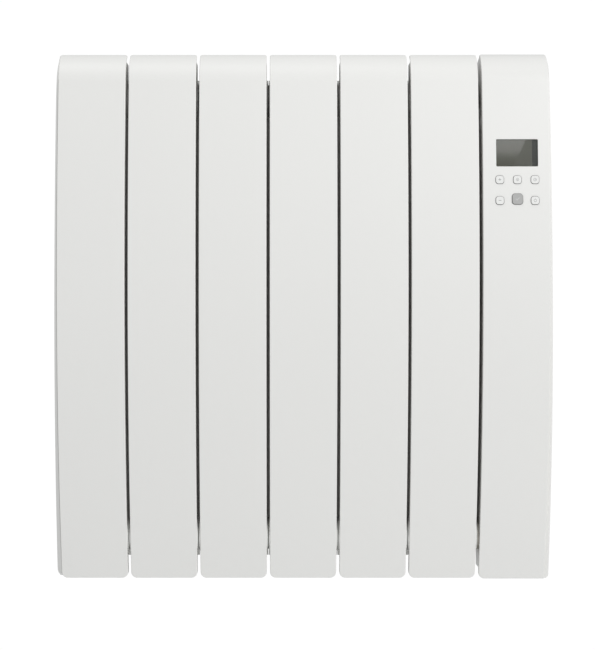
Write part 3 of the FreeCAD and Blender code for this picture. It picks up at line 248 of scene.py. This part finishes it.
def new_finish(name, colour, shade_spread=0.03, drift_scale=9.0, gloss=0.4, gloss_spread=0.06,
               tooth_scale=900.0, tooth_depth=0.02 * MM, metallic=0.0, coat=0.0):
    """Principled material whose shade, gloss and tooth come from the surface group."""
    material = bpy.data.materials.new(name)
    material.use_nodes = True
    nodes = Nodes(material.node_tree)
    shader = material.node_tree.nodes["Principled BSDF"]
    surface = place_group(nodes, SURFACE, colour=(*colour, 1), shade_spread=shade_spread,
                          drift_scale=drift_scale, gloss=gloss, gloss_spread=gloss_spread,
                          tooth_scale=tooth_scale)
    bump = nodes.add("ShaderNodeBump")
    bump.inputs["Distance"].default_value = tooth_depth
    bump.inputs["Strength"].default_value = 1.0
    nodes.join(surface.outputs["Height"], bump.inputs["Height"])
    nodes.join(surface.outputs["Colour"], shader.inputs["Base Color"])
    if gloss_spread:
        nodes.join(surface.outputs["Roughness"], shader.inputs["Roughness"])
    else:
        shader.inputs["Roughness"].default_value = gloss
    nodes.join(bump.outputs["Normal"], shader.inputs["Normal"])
    shader.inputs["Metallic"].default_value = metallic
    shader.inputs["Coat Weight"].default_value = coat
    shader.inputs["Coat Roughness"].default_value = COAT_GLOSS
    return material, nodes, shader, surface


def finish(name, colour, **settings):
    return new_finish(name, colour, **settings)[0]


def powder_coated_casting():
    """White powder coat on the fronts, with grey painted shade deep inside the sections and in their joints."""
    material, nodes, shader, surface = new_finish(
        "powder_coated_casting", (0.845, 0.84, 0.815), shade_spread=0.015, drift_scale=5.0, gloss=0.42,
        gloss_spread=0.05, tooth_scale=1300.0, tooth_depth=0.012 * MM)
    reach = place_group(nodes, UNSHADED_MASK_GROUP, front=SHADE_DEPTH, fade=SHADE_FADE, back=BACK_Y - BACK_SKIN)
    # reach is the mask of painted shade: grey painted where the sections lie in shade, white powder coat elsewhere
    colour = nodes.blend(reach.outputs["Unshaded"], PAINTED_SHADE_GREY, surface.outputs["Colour"])
    nodes.join(colour, shader.inputs["Base Color"])
    # painted glow: where shade is painted inside the sections, the casting gives off a faint light of its own
    painted_glow = nodes.blend(reach.outputs["Unshaded"], PAINTED_GAP_GLOW, NO_LIGHT)
    nodes.join(painted_glow, shader.inputs["Emission Color"])
    shader.inputs["Emission Strength"].default_value = 1.0
    return material


def add_sunk_mask(nodes, depth, fade):
    """1 where the surface lies deeper than depth below the keys' faces, 0 a fade nearer to them."""
    height = nodes.add("ShaderNodeVectorMath", operation="DOT_PRODUCT")
    nodes.join(nodes.add("ShaderNodeTexCoord").outputs["Object"], height.inputs[0])
    height.inputs[1].default_value = KEYPAD_OUT
    return nodes.ramp(height.outputs["Value"], KEY_FACE - depth, KEY_FACE - depth + fade, 1.0, 0.0)


def key_moulding(name, colour, **settings):
    """Moulded key, with painted shade on its flanks, in its gap."""
    material, nodes, shader, surface = new_finish(name, colour, drift_scale=120.0, **settings)
    painted_flank_shade = add_sunk_mask(nodes, FLANK_DEPTH, FLANK_FADE)
    # the key's flanks get painted shade, dark grey
    nodes.join(nodes.blend(painted_flank_shade, surface.outputs["Colour"], PAINTED_GAP_SHADE), shader.inputs["Base Color"])
    return material


def white_moulding():
    """White moulded plastic, with painted shade on the walls of the keys' wells."""
    material, nodes, shader, surface = new_finish(
        "white_moulding", (0.836, 0.831, 0.807), shade_spread=0.012, drift_scale=6.0, gloss=0.34,
        gloss_spread=0.04, tooth_scale=1500.0, tooth_depth=0.008 * MM)
    place = nodes.place()
    low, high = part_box("key_minus")[0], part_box("key_program")[1]
    # the painted shade has no far limit, so it also darkens the rear shell, down to its back face
    painted_well_shade = add_sunk_mask(nodes, WELL_DEPTH, WELL_FADE)
    for axis, first, last in (("X", low.x, high.x), ("Z", low.z, high.z)):
        painted_well_shade = nodes.math("MULTIPLY", painted_well_shade, nodes.math("GREATER_THAN", place[axis], first - WELL_MARGIN))
        painted_well_shade = nodes.math("MULTIPLY", painted_well_shade, nodes.math("LESS_THAN", place[axis], last + WELL_MARGIN))
    # the walls of the wells get painted shade, dark grey
    nodes.join(nodes.blend(painted_well_shade, surface.outputs["Colour"], PAINTED_GAP_SHADE), shader.inputs["Base Color"])
    return material


def clear_window():
    """Glossy clear pane, faintly green."""
    material, _, shader, _ = new_finish(
        "clear_window", (0.93, 0.94, 0.92), shade_spread=0.01, gloss=0.0, gloss_spread=0.0,
        tooth_depth=0.0001 * MM)
    shader.inputs["Transmission Weight"].default_value = 1.0
    shader.inputs["IOR"].default_value = 1.46
    return material


def display_glass():
    """Grey-green liquid crystal, off: a pale field with a darker strip along its right-hand side."""
    material, nodes, shader, surface = new_finish(
        "display_glass", (0.17, 0.167, 0.136), shade_spread=0.05, drift_scale=30.0, gloss=0.3,
        tooth_depth=0.002 * MM)
    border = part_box("lcd_panel")[1].x - BORDER_WIDTH
    dark = nodes.ramp(nodes.place()["X"], border - BORDER_BLUR, border + BORDER_BLUR)
    colour = nodes.blend(dark, surface.outputs["Colour"], BORDER_DARK)
    nodes.join(colour, shader.inputs["Base Color"])
    return material


def circuit_board():
    """Green solder mask with lighter tracks."""
    material, nodes, shader, surface = new_finish(
        "circuit_board", (0.03, 0.16, 0.07), shade_spread=0.15, drift_scale=60.0, gloss=0.35,
        tooth_scale=500.0, coat=0.3)
    cells = nodes.add("ShaderNodeTexVoronoi", distance="MANHATTAN", feature="DISTANCE_TO_EDGE")
    cells.inputs["Scale"].default_value = TRACK_SCALE
    nodes.join(nodes.add("ShaderNodeTexCoord").outputs["Object"], cells.inputs["Vector"])
    track = nodes.ramp(cells.outputs["Distance"], TRACK_HALF, TRACK_EDGE, 1.0, 0.0)
    colour = nodes.blend(track, surface.outputs["Colour"], TRACK_GREEN)
    nodes.join(colour, shader.inputs["Base Color"])
    return material


FINISHES = {
    "white_casting": powder_coated_casting(),
    "white_moulding": white_moulding(),
    "nipple_steel": finish("turned_steel", (0.5, 0.5, 0.5), metallic=1.0, gloss=0.35, shade_spread=0.12,
                           drift_scale=120.0),
    "gasket_fibre": finish("pressed_fibre", (0.12, 0.13, 0.11), gloss=0.85, shade_spread=0.3,
                           drift_scale=300.0, tooth_depth=0.1 * MM),
    "plug_steel": finish("zinc_plate", (0.62, 0.62, 0.58), metallic=1.0, gloss=0.32, shade_spread=0.15,
                         drift_scale=90.0),
    "element_sheath": finish("sheath_steel", (0.42, 0.4, 0.36), metallic=1.0, gloss=0.4,
                             shade_spread=0.25, drift_scale=50.0),
    "terminal_ceramic": finish("ceramic", (0.8, 0.77, 0.68), gloss=0.25, shade_spread=0.06,
                               drift_scale=200.0),
    "cutout_plastic": finish("phenolic", (0.035, 0.028, 0.024), gloss=0.45, shade_spread=0.2,
                             drift_scale=150.0),
    "screw_steel": finish("screw_zinc", (0.58, 0.58, 0.56), metallic=1.0, gloss=0.3,
                          shade_spread=0.12, drift_scale=250.0),
    "window_clear": clear_window(),
    "lcd_glass": display_glass(),
    "black_plastic": finish("black_moulding", (0.02, 0.02, 0.021), gloss=0.42, shade_spread=0.15,
                            drift_scale=80.0),
    "circuit_board": circuit_board(),
    "relay_plastic": finish("relay_case", (0.03, 0.09, 0.3), gloss=0.35, shade_spread=0.1,
                            drift_scale=60.0),
    "terminal_plastic": finish("terminal_nylon", (0.72, 0.71, 0.66), gloss=0.5, shade_spread=0.06),
    "rocker_plastic": finish("rocker_moulding", (0.025, 0.025, 0.026), gloss=0.22, shade_spread=0.1,
                             drift_scale=60.0),
    "gland_plastic": finish("gland_nylon", (0.72, 0.72, 0.69), gloss=0.45, shade_spread=0.05,
                            drift_scale=40.0),
    "transformer_core": finish("laminated_iron", (0.09, 0.085, 0.08), gloss=0.4, shade_spread=0.3,
                               drift_scale=90.0, metallic=0.6),
    "grey_key": key_moulding("grey_key", (0.44, 0.44, 0.43), gloss=0.4, shade_spread=0.05,
                             tooth_depth=0.01 * MM),
    "white_key": key_moulding("white_key", (0.83, 0.83, 0.81), gloss=0.36, shade_spread=0.03,
                              tooth_depth=0.008 * MM),
    "bracket_steel": finish("coated_strip", (0.78, 0.78, 0.75), gloss=0.45, shade_spread=0.04,
                            drift_scale=25.0, tooth_scale=1200.0, tooth_depth=0.02 * MM),
    "pad_rubber": finish("pad_rubber", (0.03, 0.03, 0.03), gloss=0.8, shade_spread=0.2,
                         drift_scale=200.0, tooth_depth=0.03 * MM),
}
KEY_PRINTS = {
    "white_key": finish("dark_print", (0.33, 0.33, 0.33), gloss=0.5, shade_spread=0.1, drift_scale=300.0),
    "grey_key": finish("pale_print", (0.66, 0.66, 0.65), gloss=0.5, shade_spread=0.1, drift_scale=300.0),
}

for node_name, node in frame["nodes"].items():
    node.data.materials.clear()
    node.data.materials.append(FINISHES[slots[node_name]])


def new_piece(name, shape, material, body):
    """Finished piece from a bmesh already in its place."""
    mesh = bpy.data.meshes.new(name)
    bmesh.ops.recalc_face_normals(shape, faces=shape.faces)
    shape.to_mesh(mesh)
    shape.free()
    piece = bpy.data.objects.new(name, mesh)
    scene.collection.objects.link(piece)
    mesh.materials.append(material)
    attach(piece, body)
    return piece


# --------------------------------------------------------------------------------------------------
# Left end panel: a strip along the first section's edge, on its own curve, and a sheet behind it
# --------------------------------------------------------------------------------------------------
TIP_LEAN = math.radians(66)     # where the skin ends, on the brow
SKIN_GAP = 0.3 * MM             # how far the skin lies behind the section's front
SKIN_STRIP = 1.1 * MM           # depth of the strip along the section's edge
SKIN_SLANT = 0.8                # the strip falls back by this much of its width
SKIN_CLEAR = 0.2 * MM           # between the skin and the section's side
SHEET_SIDE = -PITCH * 3.5       # inner face of the sheet behind the strip
PLATE_SIDE = SHEET_SIDE + JOINT_HALF - SKIN_CLEAR
SKIN_TOP, SKIN_FOOT = 240 * MM, -290 * MM       # heights at which the rounds at the ends begin
TOP_WIDTH, TOP_ROUND = 2.1 * MM, 50 * MM
FOOT_WIDTH, FOOT_ROUND = 4.95 * MM, 8 * MM
WIDENING = 2.4                  # power by which the skin widens from top to foot
FOOT_REACH = 0.96               # share of the foot's round down to which the skin goes
LEAST_SHARE = math.sqrt(0.02)   # share of its width that the skin keeps at its very ends
LOWER_STEPS, UPPER_STEPS, BROW_STEPS = 110, 24, 20


def skin_side(height):
    """Outer side of the left panel at a height: widening to the foot, with a round at each end."""
    if height > SKIN_TOP:
        way, width, round_off = height - SKIN_TOP, TOP_WIDTH, TOP_ROUND
    elif height < SKIN_FOOT:
        way, width, round_off = SKIN_FOOT - height, FOOT_WIDTH, FOOT_ROUND
    else:
        fall = (SKIN_TOP - height) / (SKIN_TOP - SKIN_FOOT)
        way, width, round_off = 0.0, TOP_WIDTH + (FOOT_WIDTH - TOP_WIDTH) * fall ** WIDENING, 1.0
    share = math.sqrt(max(0, 1 - (way / round_off) ** 2))
    return PLATE_SIDE - width * max(LEAST_SHARE, share)


def add_arc(shape, start, centre, angle, steps):
    """Chain of edges from the vertex start, turned about the X axis through centre; gives its end."""
    made = bmesh.ops.spin(shape, geom=[start], cent=(start.co.x, *centre), axis=(1, 0, 0), angle=angle,
                          steps=steps)
    return made["geom_last"][0]


def build_left_panel():
    """Strip that widens and falls back outwards, with the sheet drawn from its rear to the back."""
    shape = bmesh.new()
    crest = shape.verts.new((PLATE_SIDE, FRONT_Y + SKIN_GAP, CREST_Z))
    foot = math.asin((CREST_Z - SKIN_FOOT + FOOT_REACH * FOOT_ROUND) / (LOWER_BOW - SKIN_GAP))
    add_arc(shape, crest, (FRONT_Y + LOWER_BOW, CREST_Z), foot, LOWER_STEPS)
    brow = add_arc(shape, crest, (FRONT_Y + UPPER_BOW, CREST_Z), -BROW_LEAN, UPPER_STEPS)
    lean = Vector((math.cos(BROW_LEAN), -math.sin(BROW_LEAN))) * (BROW_BOW - SKIN_GAP)
    brow_centre = (brow.co.y + lean.x, brow.co.z + lean.y)
    add_arc(shape, brow, brow_centre, BROW_LEAN - TIP_LEAN, BROW_STEPS)
    strip = bmesh.ops.extrude_edge_only(shape, edges=shape.edges[:])["geom"]
    behind = [item for item in strip if isinstance(item, bmesh.types.BMVert)]
    bmesh.ops.translate(shape, vec=(0, SKIN_STRIP, 0), verts=behind)
    inner = shape.verts[:]
    skin = bmesh.ops.extrude_face_region(shape, geom=shape.faces[:])["geom"]
    for vertex in skin:
        if isinstance(vertex, bmesh.types.BMVert):
            vertex.co.x = skin_side(vertex.co.z)
            vertex.co.y += SKIN_SLANT * (PLATE_SIDE - vertex.co.x)
    # its inner edge follows the round corner of the section's foot
    for vertex in inner:
        below = max(0.0, TOE_Z + TOE_CORNER - vertex.co.z)
        vertex.co.x += TOE_CORNER - math.sqrt(TOE_CORNER ** 2 - below ** 2)
    bmesh.ops.bisect_plane(shape, geom=shape.verts[:] + shape.edges[:] + shape.faces[:],
                           plane_co=(SHEET_SIDE, 0, 0), plane_no=(1, 0, 0))
    bmesh.ops.recalc_face_normals(shape, faces=shape.faces)
    # the part of its rear beside the section is drawn out to the back
    rear = [face for face in shape.faces
            if face.calc_center_median().x < SHEET_SIDE and face.normal.y > 0.5]
    sheet = bmesh.ops.extrude_face_region(shape, geom=rear)["geom"]
    bmesh.ops.delete(shape, geom=rear, context="FACES")
    for vertex in sheet:
        if isinstance(vertex, bmesh.types.BMVert):
            vertex.co.y = BACK_Y
    panel = new_piece("left_panel_skin", shape, FINISHES["white_moulding"], "heater")
    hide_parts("left_side_panel")


build_left_panel()


# --------------------------------------------------------------------------------------------------
# Printed symbols on the keys
# --------------------------------------------------------------------------------------------------
PRINT_WALL = 0.06 * MM      # thickness of the print
PRINT_SUNK = 0.02 * MM      # how deep its middle lies below the key's face
LINE = 0.55 * MM            # usual width of a stroke
FINE_LINE = 0.35 * MM       # the sun's rays and the clock's hands
RING_LINE = 0.4 * MM        # the sun's and the clock's rings
STANDBY_LINE = 0.42 * MM
HAIR = 0.01 * MM            # what a stroke stands over one that it crosses
CROSS_HALF = 1.3 * MM       # half the length of the plus and minus strokes
RING_STEPS = 28
SUN_RAYS = 8
STANDBY_GAP = 70.0          # opening of the standby ring at its top, in degrees


def key_face(key):
    """Matrix from a symbol drawn about the origin in XY, looking +Z, to the middle of a key's face."""
    out = -press_axis(key)
    across = Vector((1, 0, 0))
    up = out.cross(across)
    corners = [vertex.co for vertex in frame["nodes"][key].data.vertices]
    reach = max(corner.dot(out) for corner in corners)
    middle = [(max(values) + min(values)) / 2 for values in
              ([corner.dot(across) for corner in corners], [corner.dot(up) for corner in corners])]
    centre = across * middle[0] + up * middle[1] + out * (reach - PRINT_SUNK)
    turned = Matrix((across, up, out)).transposed().to_4x4()
    return Matrix.Translation(centre) @ turned


def add_bar(shape, start, end, width=LINE, rise=0.0):
    """Flat printed stroke from start to end."""
    start, end = Vector((*start, 0)), Vector((*end, 0))
    way = end - start
    made = bmesh.ops.create_cube(shape, size=1.0)["verts"]
    turn = Matrix.Rotation(math.atan2(way.y, way.x), 4, "Z")
    size = Matrix.Diagonal((way.length + width, width, PRINT_WALL + 2 * rise, 1))
    bmesh.ops.transform(shape, matrix=Matrix.Translation((start + end) / 2) @ turn @ size, verts=made)


def add_ring(shape, radius, first=0.0, last=360.0, width=LINE):
    """Flat printed ring or arc about the origin, from one angle to another."""
    closed = last - first >= 360.0
    inner, outer = radius - width / 2, radius + width / 2
    square = [shape.verts.new((r, 0, z)) for r, z in
              ((inner, -PRINT_WALL / 2), (outer, -PRINT_WALL / 2), (outer, PRINT_WALL / 2),
               (inner, PRINT_WALL / 2))]
    edges = [shape.edges.new((square[i], square[(i + 1) % 4])) for i in range(4)]
    bmesh.ops.rotate(shape, verts=square, matrix=Matrix.Rotation(math.radians(first), 3, "Z"))
    start_face = None if closed else bmesh.ops.contextual_create(shape, geom=edges)["faces"]
    made = bmesh.ops.spin(shape, geom=square + edges, axis=(0, 0, 1), cent=(0, 0, 0),
                          angle=math.radians(last - first), steps=RING_STEPS, use_merge=closed)
    if start_face is not None:
        ends = [item for item in made["geom_last"] if isinstance(item, bmesh.types.BMEdge)]
        bmesh.ops.contextual_create(shape, geom=ends)


def draw_minus(shape):
    add_bar(shape, (-CROSS_HALF, 0), (CROSS_HALF, 0))


def draw_plus(shape):
    draw_minus(shape)
    add_bar(shape, (0, -CROSS_HALF), (0, CROSS_HALF), rise=HAIR)


def draw_sun(shape):
    add_ring(shape, 0.8 * MM, width=RING_LINE)
    for number in range(SUN_RAYS):
        angle = 2 * math.pi * number / SUN_RAYS
        way = Vector((math.cos(angle), math.sin(angle)))
        add_bar(shape, way * 1.45 * MM, way * 1.8 * MM, width=FINE_LINE)


def draw_clock(shape):
    add_ring(shape, 1.6 * MM, width=RING_LINE)
    add_bar(shape, (0, 0), (0, 0.95 * MM), width=FINE_LINE)
    add_bar(shape, (0, 0), (0.7 * MM, 0), width=FINE_LINE, rise=HAIR)


def draw_tick(shape):
    add_bar(shape, (-1.9 * MM, 0.1 * MM), (-0.6 * MM, -1.3 * MM))
    add_bar(shape, (-0.6 * MM, -1.3 * MM), (2.0 * MM, 1.5 * MM), rise=HAIR)


def draw_standby(shape):
    add_ring(shape, 1.5 * MM, first=90.0 + STANDBY_GAP / 2, last=450.0 - STANDBY_GAP / 2,
             width=STANDBY_LINE)
    add_bar(shape, (0, 0.6 * MM), (0, 1.9 * MM), width=STANDBY_LINE)


SYMBOLS = {"key_plus": draw_plus, "key_minus": draw_minus, "key_mode": draw_sun,
           "key_program": draw_clock, "key_confirm": draw_tick, "key_standby": draw_standby}

for key, draw in SYMBOLS.items():
    symbol = bmesh.new()
    draw(symbol)
    bmesh.ops.transform(symbol, matrix=key_face(key), verts=symbol.verts)
    new_piece(key + "_symbol", symbol, KEY_PRINTS[slots[key]], key)


# --------------------------------------------------------------------------------------------------
# Studio: pale floor, soft light all round, broad lights at the right, above and under the floor
# --------------------------------------------------------------------------------------------------
FLOOR_DROP = 0.9
FLOOR_REACH = 2.8
WHITE = (1, 1, 1, 1)
SURROUNDINGS = (0.97, 0.985, 1, 1)
SEEN_WHITE = 1.02       # brightness of the white surroundings to the eye
AMBIENT = 0.50          # their brightness as the heater sees them
LIGHTS = {              # place, aim, width and height, power
    "key_light": ((2.1, -2.9, 1.5), (0, 0, 0), (2.4, 1.8), 67.0),
    "top_light": ((-0.7, -0.7, 2.4), (-0.1, -0.05, 0.25), (2.2, 0.9), 13.0),
    "floor_bounce": ((0.2, -1.2, -1.6), (0, 0, -0.2), (2.4, 0.8), 3.5),     # on the floor's underside
}
CAMERA_LENS, CAMERA_SENSOR = 98.45, 36.0
CAMERA_SHIFT_X, CAMERA_SHIFT_Y = 0.0218, -0.0132
CAMERA_PLACE = (-0.0228, FRONT_Y - 2.0, 0.0006)
GLARE = 3.0                                     # brightness of the card that the display mirrors
CARD_PLANE = -2.5                               # where the card stands, along Y
CARD_WIDTH = 0.3
CARD_TOP, CARD_BOTTOM = (0.2516, 0.2007), (0.2407, 0.1781)      # ends of its edge, in the display
CARD_FAINT, CARD_FULL = 0.1736, 0.194           # heights in the display between which it fades in,
CARD_MIDDLE = 0.246                             # at this place across


def build_floor():
    shape = bmesh.new()
    bmesh.ops.create_grid(shape, x_segments=1, y_segments=1, size=FLOOR_REACH)
    mesh = bpy.data.meshes.new("floor")
    shape.to_mesh(mesh)
    shape.free()
    floor = bpy.data.objects.new("floor", mesh)
    scene.collection.objects.link(floor)
    mesh.transform(Matrix.Translation((0, 0, TOE_Z - FLOOR_DROP)))
    mesh.materials.append(finish("pale_floor", (0.96, 0.96, 0.96), gloss=0.9, shade_spread=0.01))


def build_light(name, place, aim, size, power):
    """Broad soft light at place, turned to aim."""
    data = bpy.data.lights.new(name, "AREA")
    data.shape = "RECTANGLE"
    data.size, data.size_y = size
    data.energy = power
    light = bpy.data.objects.new(name, data)
    scene.collection.objects.link(light)
    light.location = place
    light.rotation_euler = (Vector(aim) - Vector(place)).to_track_quat("-Z", "Y").to_euler()


def build_world():
    """White all round: full strength to the eye, softer on the heater."""
    world = bpy.data.worlds.new("studio")
    world.use_nodes = True
    nodes = Nodes(world.node_tree)
    seen = world.node_tree.nodes["Background"]
    seen.inputs["Color"].default_value = WHITE
    seen.inputs["Strength"].default_value = SEEN_WHITE
    lit = nodes.add("ShaderNodeBackground")
    lit.inputs["Color"].default_value = SURROUNDINGS
    lit.inputs["Strength"].default_value = AMBIENT
    choice = nodes.add("ShaderNodeMixShader")
    nodes.join(nodes.add("ShaderNodeLightPath").outputs["Is Camera Ray"], choice.inputs["Fac"])
    nodes.join(lit.outputs[0], choice.inputs[1])
    nodes.join(seen.outputs[0], choice.inputs[2])
    nodes.join(choice.outputs[0], world.node_tree.nodes["World Output"].inputs["Surface"])
    scene.world = world


def build_camera():
    """Straight look at the front from 2 m, a little left of the middle, at half height."""
    data = bpy.data.cameras.new("camera")
    data.lens = CAMERA_LENS
    data.sensor_width = CAMERA_SENSOR
    data.shift_x = CAMERA_SHIFT_X
    data.shift_y = CAMERA_SHIFT_Y
    camera = bpy.data.objects.new("camera", data)
    scene.collection.objects.link(camera)
    camera.location = CAMERA_PLACE
    camera.rotation_euler = (math.radians(90), 0, 0)
    scene.camera = camera


def mirror_in_window(across, height):
    """Point of the card's plane that the camera sees mirrored at (across, height) of the display."""
    low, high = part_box("display_window")
    middle = (low + high) / 2
    slope = KEYPAD_OUT.z / KEYPAD_OUT.y
    point = Vector((across, middle.y - (height - middle.z) * slope, height))
    way = (point - scene.camera.location).reflect(KEYPAD_OUT)
    return point + way * ((CARD_PLANE - point.y) / way.y)


def build_glare():
    """Pale card that shows only as a slanting reflection in the display, stronger towards the top."""
    top, bottom = mirror_in_window(*CARD_TOP), mirror_in_window(*CARD_BOTTOM)
    shape = bmesh.new()
    bmesh.ops.create_grid(shape, x_segments=1, y_segments=1, size=CARD_WIDTH / 2)
    bmesh.ops.translate(shape, vec=(-CARD_WIDTH / 2, 0, 0), verts=shape.verts)
    slant = math.atan2(top.x - bottom.x, top.z - bottom.z)
    upright = Matrix.Rotation(slant, 4, "Y") @ Matrix.Rotation(math.radians(90), 4, "X")
    place = Matrix.Translation((top + bottom) / 2) @ upright
    bmesh.ops.transform(shape, matrix=place, verts=shape.verts)
    mesh = bpy.data.meshes.new("glare_card")
    shape.to_mesh(mesh)
    shape.free()
    card = bpy.data.objects.new("glare_card", mesh)
    scene.collection.objects.link(card)
    material = bpy.data.materials.new("glare_card")
    material.use_nodes = True
    nodes = Nodes(material.node_tree)
    nodes.tree.nodes.remove(nodes.tree.nodes["Principled BSDF"])
    glow = nodes.add("ShaderNodeEmission")
    faint, full = (mirror_in_window(CARD_MIDDLE, height).z for height in (CARD_FAINT, CARD_FULL))
    nodes.join(nodes.ramp(nodes.place()["Z"], faint, full, 0.0, GLARE), glow.inputs["Strength"])
    nodes.join(glow.outputs[0], nodes.tree.nodes["Material Output"].inputs["Surface"])
    mesh.materials.append(material)
    for kind in ("camera", "diffuse", "shadow", "transmission"):
        setattr(card, "visible_" + kind, False)


build_floor()
build_world()
build_camera()
for light_name, settings in LIGHTS.items():
    build_light(light_name, *settings)
build_glare()
scene.view_settings.view_transform = "Standard"
